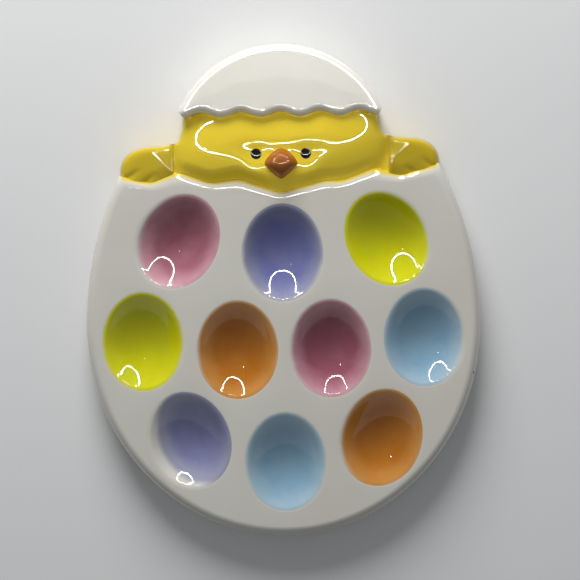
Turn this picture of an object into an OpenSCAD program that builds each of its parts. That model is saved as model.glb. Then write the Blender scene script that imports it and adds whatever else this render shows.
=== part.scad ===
// Deviled egg platter: a hollow-backed glazed ceramic egg shell with ten egg wells, and a chick that
// looks out over the cracked edge with the other half of the shell on its head.
// The platter lies flat, wells up. Origin: middle of the outline, on the table. +Y points to the cap.

/* [Shell] */
// Width of the egg at its widest line
shell_width = 256; // [240:1:280]
// Widest line to the bottom of the egg
shell_lower_length = 137; // [130:1:150]
// Widest line to the tip that the egg would have without the crack
shell_upper_length = 172; // [160:1:190]
// Widest line to the lowest point of the crack
crack_rise = 84; // [80:1:94]
// Lowest to highest point of the crack
crack_depth = 17; // [10:1:22]
// Table to the flat face of the shell
plate_height = 25; // [24:0.5:30]
// Rounding of the outer edge
edge_roll = 8; // [6:0.5:9]
// Thickness of the cast wall
wall = 4.5; // [3.5:0.1:5]

/* [Wells] */
// Length of a well's mouth
well_length = 63; // [54:1:65]
// Width of a well's mouth
well_width = 52; // [42:1:54]
// Depth of a well
well_depth = 15; // [10:0.5:16]
// Thickness of the coloured glaze on a well's floor
glaze_thickness = 0.6; // [0.3:0.1:1]

/* [Chick] */
// Lowest point of the crack to the middle of the cap's wavy edge
chick_rise = 52; // [47:1:58]
// Width of the round head
head_width = 142; // [132:1:148]
// Middle of the head above the crack's lowest point
head_lift = 14; // [10:1:18]
// Table to the crown of the head
head_height = 31; // [29:0.5:33]
// Crown of the head above the crack's lowest point
crown_lift = 31; // [28:1:34]
// Radius of the crown from the shell to the cap
crown_radius = 59; // [56:1:70]
// Radius of the crown from side to side
crown_spread = 184; // [176:1:240]
// Length of a wing's oval, along the crack
wing_length = 50; // [44:1:54]
// Width of a wing's oval, across the crack
wing_width = 36; // [33:1:40]
// Middle of a wing's oval above the crack's lowest point
wing_lift = 17; // [14:1:19]
// Rise of a wing's dome above the deck
wing_dome = 16; // [13:0.5:18]
// Width of the creases between the feathers of a wing
crease_width = 2.4; // [1.6:0.1:3]
// Length of the creases
crease_length = 7; // [4:0.5:9]
// Diameter of an eye
eye_diameter = 7; // [5:0.5:8]
// Distance between the eyes
eye_spacing = 32; // [31:0.5:40]
// Eyes above the crack's lowest point
eye_lift = 26.5; // [25:0.5:31]
// Height of an eye's dome above the face
eye_dome = 1.4; // [0.8:0.1:2.2]
// Width of the beak
beak_width = 21.5; // [17:0.5:23]
// Length of the beak, from top to bottom
beak_length = 20; // [16:0.5:21]
// Middle of the beak above the crack's lowest point
beak_lift = 20; // [19.5:0.5:24]
// How far the beak stands out of the face
beak_projection = 7.5; // [5:0.5:10]
// Rounding of the beak's corners
beak_round = 2.2; // [1.4:0.1:3]

/* [Cap] */
// Middle of the wavy edge to the top of the cap
cap_rise = 45; // [40:1:50]
// Width of the cap along its wavy edge
cap_width = 135; // [126:1:142]
// Table to the flat face of the cap
cap_height = 35; // [33:0.5:38]
// Rounding of the cap's outer edge
cap_roll = 6; // [4:0.5:8]
// Distance from one wave to the next
wave_pitch = 25.5; // [20:0.5:32]
// Depth of the waves
wave_depth = 3.4; // [2:0.1:5]

/* [Foot] */
// Height of the bare foot rim
foot_height = 2; // [1:0.5:3]
// Width of the foot rim
foot_width = 3; // [2:0.1:3.4]
// Outer side of the shell to the foot rim
foot_inset = 0.7; // [0.4:0.1:1]

/* [Seats] */
// Foot rim to the underside of the deck
deck_clearance = 3; // [2:0.5:4]
// Thickness of the deck that carries the chick and the cap
deck_thickness = 6; // [4:0.5:8]
// Thickness of the chick's and the cap's side walls around the deck
deck_inset = 4; // [3:0.5:6]
// Width of the slip line between joined pieces
joint_gap = 0.2; // [0.1:0.05:0.4]
// Depth of the sockets that hold the eyes and the beak
socket_depth = 2.5; // [1.5:0.5:4]

/* [Hidden] */
$fn = 96;

// Planes above the table
deck_bottom = foot_height + deck_clearance;
deck_top = deck_bottom + deck_thickness;

// Stations along the platter
overall_length = shell_lower_length + crack_rise + chick_rise + cap_rise;
widest_y = shell_lower_length - overall_length / 2;
crack_low_y = widest_y + crack_rise;
wave_y = crack_low_y + chick_rise;
head_y = crack_low_y + head_lift;
crown_y = crack_low_y + crown_lift;
wing_y = crack_low_y + wing_lift;
eye_y = crack_low_y + eye_lift;
beak_y = crack_low_y + beak_lift;

// Reach of the cutting shapes, and how far a cut runs past the face that it opens
cut_reach = overall_length;
overrun = wall;

// The egg's half width where the crack meets its side, and the wings that end there
shoulder_share = (crack_rise + crack_depth) / shell_upper_length;
shoulder_x = shell_width / 2 * sqrt(1 - pow(shoulder_share, 2));
wing_x = shoulder_x - wing_length / 2;

// The crack from left to right: shares of the shoulder's half width and of the crack's depth
crack_shares = [
    [-1.00, 0.90], [-0.82, 0.57], [-0.64, 0.86], [-0.43, 0.38], [-0.27, 0.58], [-0.01, 0.00],
    [0.29, 0.46], [0.38, 0.38], [0.59, 0.87], [0.76, 0.57], [1.00, 1.00],
];
crack_steps = 5;

// Point of the crack at share t of the way between two of its turning points
function crack_point(i, t) =
    let (a = crack_shares[i], b = crack_shares[i + 1], eased = (1 - cos(180 * t)) / 2)
    [shoulder_x * (a[0] + (b[0] - a[0]) * t), crack_low_y + crack_depth * (a[1] + (b[1] - a[1]) * eased)];
crack_spans = len(crack_shares) - 1;
crack_points = [
    for (i = [0 : crack_spans - 1], k = [0 : crack_steps - 1]) crack_point(i, k / crack_steps),
    crack_point(crack_spans - 1, 1),
];

// The cap: an arc through its top and both ends of the wavy edge
cap_radius = (pow(cap_width / 2, 2) + pow(cap_rise, 2)) / (2 * cap_rise);
cap_y = wave_y + cap_rise - cap_radius;
wave_steps = 32;
function wave_at(x) = wave_y + wave_depth / 2 * cos(360 * x / wave_pitch);

// Height of the head's crown over a point of the plan
function crown_section(x) = sqrt(pow(crown_spread, 2) - pow(x, 2)) - crown_spread + crown_radius;
function crown_z(x, y) = head_height - crown_radius + sqrt(pow(crown_section(x), 2) - pow(y - crown_y, 2));

// Floors of the sockets in the head
eye_floor = crown_z(eye_spacing / 2, eye_y) - socket_depth;
beak_face = crown_z(0, beak_y);
beak_floor = crown_z(0, beak_y - beak_length / 2) - socket_depth;

// Height of a wing over a point that lies dx, dy from the middle of its oval
function wing_z(dx, dy) =
    deck_top + wing_dome * sqrt(max(0, 1 - pow(2 * dx / wing_length, 2) - pow(2 * dy / wing_width, 2)));

// The creases of a wing: place along the wing from its middle, as shares of half its length
crease_shares = [0.05, 0.52];

// The wells: share of the shell's half width, share of the crack's rise or of the lower length, and turn
well_place_shares = [
    ["pink_glaze_top_left", -0.527, 0.657, -29],
    ["lilac_glaze_top", 0, 0.556, 0],
    ["lime_glaze_top_right", 0.527, 0.657, 29],
    ["lime_glaze_left", -0.7125, -0.069, 0],
    ["orange_glaze_left", -0.235, -0.114, 0],
    ["pink_glaze_right", 0.235, -0.114, 0],
    ["blue_glaze_right", 0.7125, -0.069, 0],
    ["lilac_glaze_bottom_left", -0.487, -0.538, 18],
    ["blue_glaze_bottom", 0, -0.646, 0],
    ["orange_glaze_bottom_right", 0.487, -0.538, -18],
];
WELLS = [for (place = well_place_shares) place[0]];

// A well is the lower side of an egg that lies along its mouth, with its axis above the face
well_blunt_share = 0.48;
well_blunt = well_blunt_share * well_length;
well_pointed = well_length - well_blunt;

// Radius of the arc that spans half a mouth and is as deep as the well
function bowl_arc(half) = (pow(half, 2) + pow(well_depth, 2)) / (2 * well_depth);
well_radius = bowl_arc(well_width / 2);
well_axis_z = plate_height + well_radius - well_depth;

// Colours
white_glaze = [0.83, 0.82, 0.78];
bare_clay = [0.80, 0.74, 0.64];
chick_yellow = [0.85, 0.74, 0.20];
beak_rust = [0.58, 0.34, 0.16];
eye_black = [0.04, 0.04, 0.04];
pink_glaze = [0.72, 0.48, 0.54];
lilac_glaze = [0.50, 0.51, 0.66];
lime_glaze = [0.74, 0.74, 0.10];
orange_glaze = [0.72, 0.47, 0.19];
blue_glaze = [0.52, 0.64, 0.70];
WELL_COLOURS = [
    pink_glaze, lilac_glaze, lime_glaze, lime_glaze, orange_glaze, pink_glaze, blue_glaze, lilac_glaze,
    blue_glaze, orange_glaze,
];

// Section of a round slab with a rolled upper edge
module rolled_section(radius, low, high, roll) {
    translate([0, low]) square([radius, high - low - roll]);
    translate([0, low]) square([radius - roll, high - low]);
    translate([radius - roll, high - roll]) circle(roll);
}

// Turns a section into an egg-shaped solid. The section's outer side is the shell's, less an inset.
module egg_turn(inset) {
    radius = shell_width / 2 - inset;
    upper = (shell_upper_length - inset) / radius;
    lower = (shell_lower_length - inset) / radius;
    translate([0, widest_y, 0]) {
        scale([1, upper, 1]) rotate_extrude(angle = 180) children();
        rotate(180) scale([1, lower, 1]) rotate_extrude(angle = 180) children();
    }
}

// Egg-shaped slab with a rolled upper edge
module egg_slab(inset, low, high, roll) {
    egg_turn(inset) rolled_section(shell_width / 2 - inset, low, high, roll);
}

// Egg-shaped block with straight sides
module egg_block(inset, low, high) {
    egg_turn(inset) translate([0, low]) square([shell_width / 2 - inset, high - low]);
}

// Everything on the shell's side of the crack, with the crack moved along the platter
module below_crack(shift) {
    last = len(crack_points) - 1;
    translate([0, shift, -cut_reach]) linear_extrude(2 * cut_reach) polygon([
        [-cut_reach, -cut_reach],
        [-cut_reach, crack_points[0][1]],
        each crack_points,
        [cut_reach, crack_points[last][1]],
        [cut_reach, -cut_reach],
    ]);
}

// Everything on the cap's side of the wavy edge, with the edge moved along the platter
module above_wave(shift) {
    translate([0, shift, -cut_reach]) linear_extrude(2 * cut_reach) polygon([
        [cut_reach, cut_reach],
        [-cut_reach, cut_reach],
        [-cut_reach, wave_at(-cap_width / 2)],
        for (k = [-wave_steps : wave_steps])
            let (x = cap_width / 2 * k / wave_steps) [x, wave_at(x)],
        [cut_reach, wave_at(cap_width / 2)],
    ]);
}

// Block in the plan of a wing, less an inset
module wing_block(inset, low, high) {
    translate([0, 0, low]) scale([wing_length / 2 - inset, wing_width / 2 - inset, 1])
        cylinder(high - low, 1, 1);
}

// Block in the plan of a round piece, less an inset
module round_block(radius, inset, low, high) {
    translate([0, 0, low]) cylinder(high - low, radius - inset, radius - inset);
}

// Everything under the head's crown
module crown_form() {
    side = head_width / 2 + overrun;
    translate([0, crown_y, head_height - crown_radius]) rotate([0, 90, 0]) rotate_extrude() intersection() {
        translate([crown_radius - crown_spread, 0]) circle(crown_spread);
        translate([0, -side]) square([crown_radius, 2 * side]);
    }
}

// Wing's form: straight sides from the foot rim's height to the deck, and half an ellipsoid on top
module wing_puff() {
    side_share = (deck_top - foot_height) / wing_dome;
    translate([0, 0, deck_top]) scale([wing_length / 2, wing_width / 2, wing_dome]) rotate_extrude() {
        intersection() {
            circle(1);
            square(1);
        }
        translate([0, -side_share]) square([1, side_share]);
    }
}

module head_place() {
    translate([0, head_y, 0]) children();
}

module wing_place(side) {
    translate([side * wing_x, wing_y, 0]) children();
}

module cap_place() {
    translate([0, cap_y, 0]) children();
}

// Room behind the chick and the cap, set in from their sides
module deck_room(inset, low, high) {
    difference() {
        union() {
            head_place() round_block(head_width / 2, inset, low, high);
            for (side = [-1, 1]) wing_place(side) wing_block(inset, low, high);
            intersection() {
                cap_place() round_block(cap_radius, inset, low, high);
                above_wave(inset);
            }
        }
        below_crack(-wall / 2);
    }
}

// What the chick and the cap leave free for the deck
module deck_seat() {
    deck_room(deck_inset - joint_gap, -overrun, deck_top);
}

module well_place(index) {
    place = well_place_shares[index];
    half = place[2] > 0 ? crack_rise : shell_lower_length;
    translate([place[1] * shell_width / 2, widest_y + place[2] * half, 0]) rotate(place[3]) children();
}

// Half of an egg's section beside its axis, grown by a margin
module egg_half_section(half, margin) {
    arc = bowl_arc(half);
    intersection() {
        translate([well_radius - arc, 0]) circle(arc + margin);
        square([well_radius + margin, half + margin + overrun]);
    }
}

// Egg bowl, blunt end towards the bottom of the platter, grown by a margin
module egg_bowl(margin) {
    translate([0, (well_blunt - well_pointed) / 2, well_axis_z]) rotate([-90, 0, 0])
        rotate_extrude(angle = 180) {
            egg_half_section(well_pointed, margin);
            mirror([0, 1]) egg_half_section(well_blunt, margin);
        }
}

// White shell with its wells, hollow at the back, and the deck behind the crack
module shell_plate() {
    color(white_glaze) difference() {
        union() {
            intersection() {
                egg_slab(0, foot_height, plate_height, edge_roll);
                below_crack(0);
            }
            deck_room(deck_inset, deck_bottom, deck_top);
        }
        difference() {
            intersection() {
                egg_slab(wall, foot_height - overrun, plate_height - wall, edge_roll - wall);
                below_crack(-wall);
            }
            for (index = [0 : len(WELLS) - 1]) well_place(index) egg_bowl(wall);
        }
        for (index = [0 : len(WELLS) - 1]) well_place(index) egg_bowl(0);
    }
}

// Bare clay rim that the platter stands on
module foot_rim() {
    color(bare_clay) difference() {
        intersection() {
            egg_block(foot_inset, 0, foot_height);
            below_crack(-foot_inset);
        }
        intersection() {
            egg_block(foot_inset + foot_width, -overrun, foot_height + overrun);
            below_crack(-foot_inset - foot_width);
        }
    }
}

module eye_place(side) {
    translate([side * eye_spacing / 2, eye_y, eye_floor]) children();
}

// Outline of the beak: a diamond with blunt corners
module beak_outline(margin) {
    across = beak_width / 2 + margin;
    along = beak_length / 2 + margin;
    blunt = beak_round / 2;
    polygon([
        [across, -blunt], [across, blunt], [blunt, along], [-blunt, along],
        [-across, blunt], [-across, -blunt], [-blunt, -along], [blunt, -along],
    ]);
}

module chick_head() {
    color(chick_yellow) difference() {
        intersection() {
            head_place() round_block(head_width / 2, 0, foot_height, cut_reach);
            crown_form();
        }
        below_crack(joint_gap);
        above_wave(-joint_gap);
        deck_seat();
        for (side = [-1, 1]) eye_place(side) cylinder(cut_reach, d = eye_diameter + 2 * joint_gap);
        translate([0, beak_y, beak_floor]) linear_extrude(cut_reach) beak_outline(joint_gap);
    }
}

// Crease that runs up a wing from the crack
module crease(side, share) {
    out = share * wing_length / 2;
    low = -wing_lift / 2;
    high = low + crease_length;
    hull() {
        for (end = [low, high])
            translate([side * out, end, wing_z(out, end)]) sphere(crease_width / 2, $fn = 24);
    }
}

// Wing of one side, cut to the head, with its creases
module wing(side) {
    color(chick_yellow) difference() {
        wing_place(side) wing_puff();
        head_place() round_block(head_width / 2, -joint_gap, -overrun, cut_reach);
        below_crack(joint_gap);
        deck_seat();
        for (share = crease_shares) wing_place(side) crease(side, share);
    }
}

module left_wing() {
    wing(-1);
}

module right_wing() {
    wing(1);
}

module shell_cap() {
    color(white_glaze) difference() {
        intersection() {
            cap_place() rotate_extrude() rolled_section(cap_radius, foot_height, cap_height, cap_roll);
            above_wave(0);
        }
        deck_seat();
    }
}

module beak() {
    tip = beak_face + beak_projection - beak_round;
    color(beak_rust) translate([0, beak_y, 0]) hull() {
        translate([0, 0, beak_floor]) linear_extrude(beak_face - beak_floor) beak_outline(0);
        translate([0, 0, tip]) sphere(beak_round, $fn = 32);
    }
}

// Eye of one side: a round peg with a domed end
module eye(side) {
    radius = eye_diameter / 2;
    ball = (pow(radius, 2) + pow(eye_dome, 2)) / (2 * eye_dome);
    height = socket_depth + eye_dome;
    color(eye_black) eye_place(side) intersection() {
        cylinder(height, radius, radius);
        translate([0, 0, height - ball]) sphere(ball);
    }
}

module left_eye() {
    eye(-1);
}

module right_eye() {
    eye(1);
}

// Coloured glaze in one well: thickest on the floor and feathered out at the lip
module well_glaze(index) {
    color(WELL_COLOURS[index]) difference() {
        intersection() {
            well_place(index) egg_bowl(0);
            translate([-cut_reach, -cut_reach, 0]) cube([2 * cut_reach, 2 * cut_reach, plate_height]);
        }
        translate([0, 0, glaze_thickness]) well_place(index) egg_bowl(0);
    }
}

shell_plate();
foot_rim();
chick_head();
left_wing();
right_wing();
shell_cap();
beak();
left_eye();
right_eye();
for (index = [0 : len(WELLS) - 1]) {
    well_glaze(index);
}
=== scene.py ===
# %% [markdown]
# # A deviled egg platter
# The platter is one casting of white earthenware: a cracked egg shell with egg-shaped wells, and a chick
# that looks out over the crack with the rest of the shell on its head. The colours are sprayed on by
# hand, and one clear, glossy glaze covers everything. This lesson loads the measured model, puts a softer
# and finer mesh in the place of each of its solids, and then glazes them.

# %% Load the measured model
import math

import bmesh
import bpy
from mathutils import Matrix, Vector


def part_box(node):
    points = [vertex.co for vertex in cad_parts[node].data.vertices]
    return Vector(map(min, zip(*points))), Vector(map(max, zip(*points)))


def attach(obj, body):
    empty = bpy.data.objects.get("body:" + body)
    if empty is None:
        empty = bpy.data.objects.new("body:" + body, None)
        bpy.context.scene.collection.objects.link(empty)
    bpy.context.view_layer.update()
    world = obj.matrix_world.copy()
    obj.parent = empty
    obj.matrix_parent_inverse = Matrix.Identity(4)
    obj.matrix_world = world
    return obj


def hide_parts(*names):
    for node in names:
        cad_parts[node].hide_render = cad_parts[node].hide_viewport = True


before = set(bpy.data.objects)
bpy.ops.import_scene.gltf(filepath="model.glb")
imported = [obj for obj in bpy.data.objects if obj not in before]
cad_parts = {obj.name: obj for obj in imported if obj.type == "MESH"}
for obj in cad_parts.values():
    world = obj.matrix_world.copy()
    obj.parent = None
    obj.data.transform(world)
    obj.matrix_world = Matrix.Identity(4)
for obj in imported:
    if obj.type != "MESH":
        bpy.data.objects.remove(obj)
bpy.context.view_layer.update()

MM = 0.001

# %% [markdown]
# ## Loops of edges
# Nearly every piece of this casting is a stack of closed loops: a rim rolls over, a bowl closes to its
# floor, a cheek swells to its crown. Such a stack could be lofted from curves. Growing it loop by loop
# with the extrude operator keeps the quads in order, so the glossy glaze shows no kinks.

# %% Helpers that grow loops
def start_loop(bm, places):
    """A closed loop of edges: a circle whose vertices move to the given places."""
    loop = bmesh.ops.create_circle(bm, segments=len(places), radius=1)["verts"]
    for vert, place in zip(loop, places):
        vert.co = place
    return loop


def loop_edges(bm, loop):
    return [bm.edges.get((loop[k - 1], loop[k])) for k in range(len(loop))]


def grow_loop(bm, loop, places):
    """Extrudes a closed loop and moves each new vertex to its place."""
    made = bmesh.ops.extrude_edge_only(bm, edges=loop_edges(bm, loop))["geom"]
    fresh = {item for item in made if isinstance(item, bmesh.types.BMVert)}
    grown = []
    for vert, place in zip(loop, places):
        ends = (edge.other_vert(vert) for edge in vert.link_edges)
        partner = next(end for end in ends if end in fresh)
        partner.co = place
        grown.append(partner)
    return grown


def close_loop(bm, loop):
    """Closes a loop with a fan of triangles, and returns the vertex in its middle."""
    face = bmesh.ops.contextual_create(bm, geom=loop_edges(bm, loop))["faces"][0]
    return bmesh.ops.poke(bm, faces=[face])["verts"][0]


def grow_rings(bm, rings):
    """Grows a tube through a list of rings, and returns its first and last loops."""
    first = loop = start_loop(bm, rings[0])
    for ring in rings[1:]:
        loop = grow_loop(bm, loop, ring)
    return first, loop


# %% [markdown]
# ## Pieces
# A finished mesh stands for one solid of the measured model, which stays in the scene and is hidden in
# the picture. Setting that up by hand for each piece would be easy to forget, so one function does it for
# all.

# %% Helpers that finish a piece
pieces = {}


def to_object(bm, name):
    """Turns a bmesh into an object of the scene."""
    mesh = bpy.data.meshes.new(name)
    bm.to_mesh(mesh)
    bm.free()
    thing = bpy.data.objects.new(name, mesh)
    bpy.context.scene.collection.objects.link(thing)
    return thing


def finish_piece(bm, name, node, slot):
    """Turns a bmesh into a piece of the platter that stands for one node of the measured model."""
    bmesh.ops.recalc_face_normals(bm, faces=bm.faces)
    piece = to_object(bm, name)
    piece.data.shade_smooth()
    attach(piece, "root")
    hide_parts(node)
    pieces[piece] = slot
    print(name, "has", len(piece.data.polygons), "faces")


def clamp(value, low=0, high=1):
    return min(high, max(low, value))


def smooth_step(low, high, value):
    share = clamp((value - low) / (high - low))
    return share * share * (3 - 2 * share)


def steps(low, high, count):
    return [low + (high - low) * k / (count - 1) for k in range(count)]


print("nodes to dress:", len(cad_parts))

# %% [markdown]
# ## The cracked shell's outline
# The shell is an egg with its tip broken off: two half ellipses that share their widest line, cut by a
# crack that swings up and down. Each loop of the rim is this outline set in a little, so one function
# serves them all. Set in from the egg's side, the ellipses get smaller. Set in from the crack, the crack
# moves down.

# %% Outline of the shell
plate_low, plate_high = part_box("shell_plate")
half_width = plate_high.x
face_z = plate_high.z
shell_low_z = plate_low.z
widest_y = -22 * MM
upper_length = 172 * MM
lower_length = widest_y - plate_low.y
crack_low_y = 64.5 * MM
crack_depth = 17 * MM
crack_shares = [
    (-1.00, 0.69), (-0.82, 0.40), (-0.64, 0.86), (-0.43, 0.38), (-0.27, 0.58), (-0.01, 0.00),
    (0.29, 0.46), (0.38, 0.38), (0.59, 0.87), (0.76, 0.57), (1.00, 1.00),
]
valley_shares = [
    (-1.00, 0.50), (-0.82, 0.40), (-0.43, 0.38), (-0.01, 0.00), (0.38, 0.38), (0.76, 0.57), (1.00, 0.70),
]
RIM_STEPS = 168
CRACK_STEPS = 110
CORNER_STEPS = 6
ROUND_STEPS = 3
round_share = 0.035


def rise_along(shares, share):
    """Height of a line through points, as a share of the crack's depth, with its corners rounded."""
    total = 0
    for k in range(-ROUND_STEPS, ROUND_STEPS + 1):
        place = clamp(share + round_share * k / ROUND_STEPS, -1)
        for (x0, y0), (x1, y1) in zip(shares, shares[1:]):
            if place <= x1:
                total += y0 + (y1 - y0) * (place - x0) / (x1 - x0)
                break
    return total / (2 * ROUND_STEPS + 1)


def crack_rise(share):
    return rise_along(crack_shares, share)


def valley_rise(share):
    return rise_along(valley_shares, share)


def egg_angle(y, inset):
    return math.asin((y - widest_y) / (upper_length - inset))


def side_of(x):
    return 1 if x > 0 else -1


shoulders = {}
for x_share, y_share in (crack_shares[0], crack_shares[-1]):
    y = crack_low_y + crack_depth * y_share
    x = x_share * half_width * math.cos(egg_angle(y, 0))
    shoulders[side_of(x_share)] = Vector((x, y, face_z))


def crack_y(x):
    return crack_low_y + crack_depth * crack_rise(clamp(x / abs(shoulders[side_of(x)].x), -1))


def shell_ring(inset, rim_z, drop, crack_z, peak_drop=0):
    """Places round the shell: set in from its side at one height, and dropped from the crack at another.

    peak_drop lowers the crack further at its peaks, by a share of how far they stand over its valleys.
    """
    left = egg_angle(crack_low_y + crack_depth * crack_shares[0][1] - drop, inset)
    right = egg_angle(crack_low_y + crack_depth * crack_shares[-1][1] - drop, inset)
    first, last = math.pi - left, 2 * math.pi + right
    places = []
    for k in range(RIM_STEPS + 1):
        angle = first + (last - first) * k / RIM_STEPS
        length = (upper_length if math.sin(angle) > 0 else lower_length) - inset
        x, y = (half_width - inset) * math.cos(angle), widest_y + length * math.sin(angle)
        corner = 1 - smooth_step(0, CORNER_STEPS, min(k, RIM_STEPS - k))
        places.append(Vector((x, y, rim_z + (crack_z - rim_z) * corner)))
    x_left, x_right = places[0].x, places[-1].x
    for k in range(1, CRACK_STEPS):
        share = 1 - 2 * k / CRACK_STEPS
        x = share * (x_right if share > 0 else -x_left)
        y = crack_low_y + crack_depth * crack_rise(share) - drop
        y -= peak_drop * crack_depth * (crack_rise(share) - valley_rise(share))
        places.append(Vector((x, y, crack_z)))
    return places


print("shoulders at x =", [round(place.x / MM, 1) for place in shoulders.values()], "mm")

# %% [markdown]
# ## The wells
# A well is the lower side of an egg that lies on its back, with a soft lip where it meets the face. Its
# shape could be cut out with a boolean, but the cut would leave a sharp edge and crossed triangles at the
# lip. Here three curves are worked out, one to the side and one to each end: an arc that rolls over the
# lip, then the slope of the bowl, a parabola. A ring of the well joins the three at the same step.

# %% Curves and rings of a well
WELL_POINTS = 72
LIP_STEPS = 7
LIP_ROUNDS = 12
BOWL_STEPS = 14
well_side = 26 * MM
well_blunt = 30.24 * MM
well_pointed = 32.76 * MM
well_depth = 15 * MM
lip_radius = 5 * MM
mouth_inset = 0.6 * MM
turns = {
    "pink_glaze_top_left": -29, "lilac_glaze_top": 0, "lime_glaze_top_right": 29, "lime_glaze_left": 0,
    "orange_glaze_left": 0, "pink_glaze_right": 0, "blue_glaze_right": 0, "lilac_glaze_bottom_left": 18,
    "blue_glaze_bottom": 0, "orange_glaze_bottom_right": -18,
}


def bowl_curve(half):
    """Distance and depth along a well's section, from the flat face over the lip to the floor."""
    mouth = half - mouth_inset
    edge = mouth
    for _ in range(LIP_ROUNDS):
        slope = math.atan(2 * well_depth * edge / mouth ** 2)
        edge = mouth * math.sqrt(1 - lip_radius * (1 - math.cos(slope)) / well_depth)
    curve = []
    for k in range(LIP_STEPS + 1):
        angle = slope * k / LIP_STEPS
        out = lip_radius * (math.sin(slope) - math.sin(angle))
        curve.append((edge + out, lip_radius * (1 - math.cos(angle))))
    for k in range(1, BOWL_STEPS):
        distance = edge * (1 - k / BOWL_STEPS)
        curve.append((distance, well_depth * (1 - (distance / mouth) ** 2)))
    return curve


def back_curve(half, wall, ceiling):
    """The same for the back of the well, an arc from the hollow's ceiling to the lowest point."""
    arc = (half * half + well_depth * well_depth) / (2 * well_depth)
    start = math.acos((arc - well_depth + ceiling) / (arc + wall))
    angles = [start * (1 - k / BOWL_STEPS) for k in range(BOWL_STEPS)]
    return [((arc + wall) * math.sin(a), (arc + wall) * math.cos(a) - arc + well_depth) for a in angles]


def middle_of(name):
    low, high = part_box(name)
    return (low + high) / 2


def well_rings(name, curve, *options):
    """Rings of places round one well, where curve gives the section for a half mouth."""
    middle = middle_of(name)
    turn = Matrix.Rotation(math.radians(turns[name]), 4, "Z")
    place = Matrix.Translation((middle.x, middle.y, face_z)) @ turn
    place = place @ Matrix.Translation((0, (well_blunt - well_pointed) / 2, 0))
    side = curve(well_side, *options)
    ends = {1: curve(well_pointed, *options), -1: curve(well_blunt, *options)}
    rings = []
    for k in range(len(side)):
        ring = []
        for p in range(WELL_POINTS):
            angle = 2 * math.pi * p / WELL_POINTS
            along = math.sin(angle)
            end = ends[side_of(along)][k]
            depth = side[k][1] + (end[1] - side[k][1]) * along * along
            ring.append(place @ Vector((side[k][0] * math.cos(angle), end[0] * along, -depth)))
        rings.append(ring)
    return rings


print("wells:", len(turns))

# %% [markdown]
# ## The shell
# On the real platter this is the body of the casting: a slab about as thick as a finger, hollow at the
# back, with a rim that rolls over to a flat face. A bevel could round the rim, but not by different
# amounts at the side and at the crack, so the rim is grown from its foot, outside up and over, and inside
# up to the ceiling of the hollow. The corners where the crack meets the rim are smoothed, as wet clay is
# with a sponge.

# %% Rim of the shell
ROLL_STEPS = 9
CORNER_PASSES = 6
rim_roll_width = 6.2 * MM
rim_roll_height = 8 * MM
crack_roll_width = 5.8 * MM
crack_roll_height = 5 * MM
peak_roll_share = 0.45
overspray_full_share = 0.16
overspray_bare_share = 0.55
corner_soft = 14 * MM
border = 0.3 * MM
cast_wall = 4.5 * MM
crack_wall = 3.5 * MM
ceiling_depth = 4 * MM
ceiling_z = face_z - ceiling_depth

bm = bmesh.new()
overspray = bm.verts.layers.float.new("overspray")
foot_loop = start_loop(bm, shell_ring(0, shell_low_z, 0, shell_low_z))
loop = foot_loop
rolled_verts = []
for k in range(ROLL_STEPS + 1):
    angle = math.pi / 2 * k / ROLL_STEPS
    out, up = 1 - math.cos(angle), 1 - math.sin(angle)
    ring = shell_ring(rim_roll_width * out, face_z - rim_roll_height * up, crack_roll_width * out,
                      face_z - crack_roll_height * up, peak_roll_share * out)
    loop = grow_loop(bm, loop, ring)
    rolled_verts += loop if k > 1 else []
    for vert in loop[RIM_STEPS + 1 :]:
        vert[overspray] = 1 - smooth_step(overspray_full_share, overspray_bare_share, out)
ring = shell_ring(rim_roll_width + border, face_z, crack_roll_width + border, face_z, peak_roll_share)
loop = grow_loop(bm, loop, ring)
face_edges = loop_edges(bm, loop)
for place in shoulders.values():
    corner_verts = [vert for vert in rolled_verts + loop if (vert.co - place).xy.length < corner_soft]
    for _ in range(CORNER_PASSES):
        bmesh.ops.smooth_vert(bm, verts=corner_verts, factor=0.5,
                              use_axis_x=True, use_axis_y=True, use_axis_z=True)
loop = grow_loop(bm, foot_loop, shell_ring(cast_wall, shell_low_z, crack_wall, shell_low_z))
loop = grow_loop(bm, loop, shell_ring(cast_wall, ceiling_z, crack_wall, ceiling_z))
back_edges = loop_edges(bm, loop)
print("open edges of the rim:", sum(edge.is_boundary for edge in bm.edges))

# %% [markdown]
# ## The shell's face and back
# Each well is grown twice, as the bowl in front and as the bulge behind it, so the casting has a real
# wall. A ring of flat quads already borders the rolled rim, so that its shading doesn't spread over the
# flat face. The fill operator then closes the face and the hollow's ceiling around the wells, which a
# grid with holes would do less evenly.

# %% Wells, face and back of the shell
back_wall = 3 * MM
for name in turns:
    mouth_loop, floor_loop = grow_rings(bm, well_rings(name, bowl_curve))
    face_edges += loop_edges(bm, mouth_loop)
    close_loop(bm, floor_loop).co.z = face_z - well_depth
    back_loop, lowest_loop = grow_rings(bm, well_rings(name, back_curve, back_wall, ceiling_depth))
    back_edges += loop_edges(bm, back_loop)
    close_loop(bm, lowest_loop).co.z = face_z - well_depth - back_wall
bmesh.ops.triangle_fill(bm, use_beauty=True, edges=face_edges)
bmesh.ops.triangle_fill(bm, use_beauty=True, edges=back_edges)
print("open edges:", sum(edge.is_boundary for edge in bm.edges))
finish_piece(bm, "glazed_shell", "shell_plate", "white_glaze")

# %% [markdown]
# ## The foot rim
# A glazed pot would stick to the kiln shelf, so the rim that it stands on is wiped bare before firing. It
# is a narrow band under the shell's wall. It could be a curve with a bevel, but the shell's own outline
# gives it more exactly, with rounded lower edges.

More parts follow.
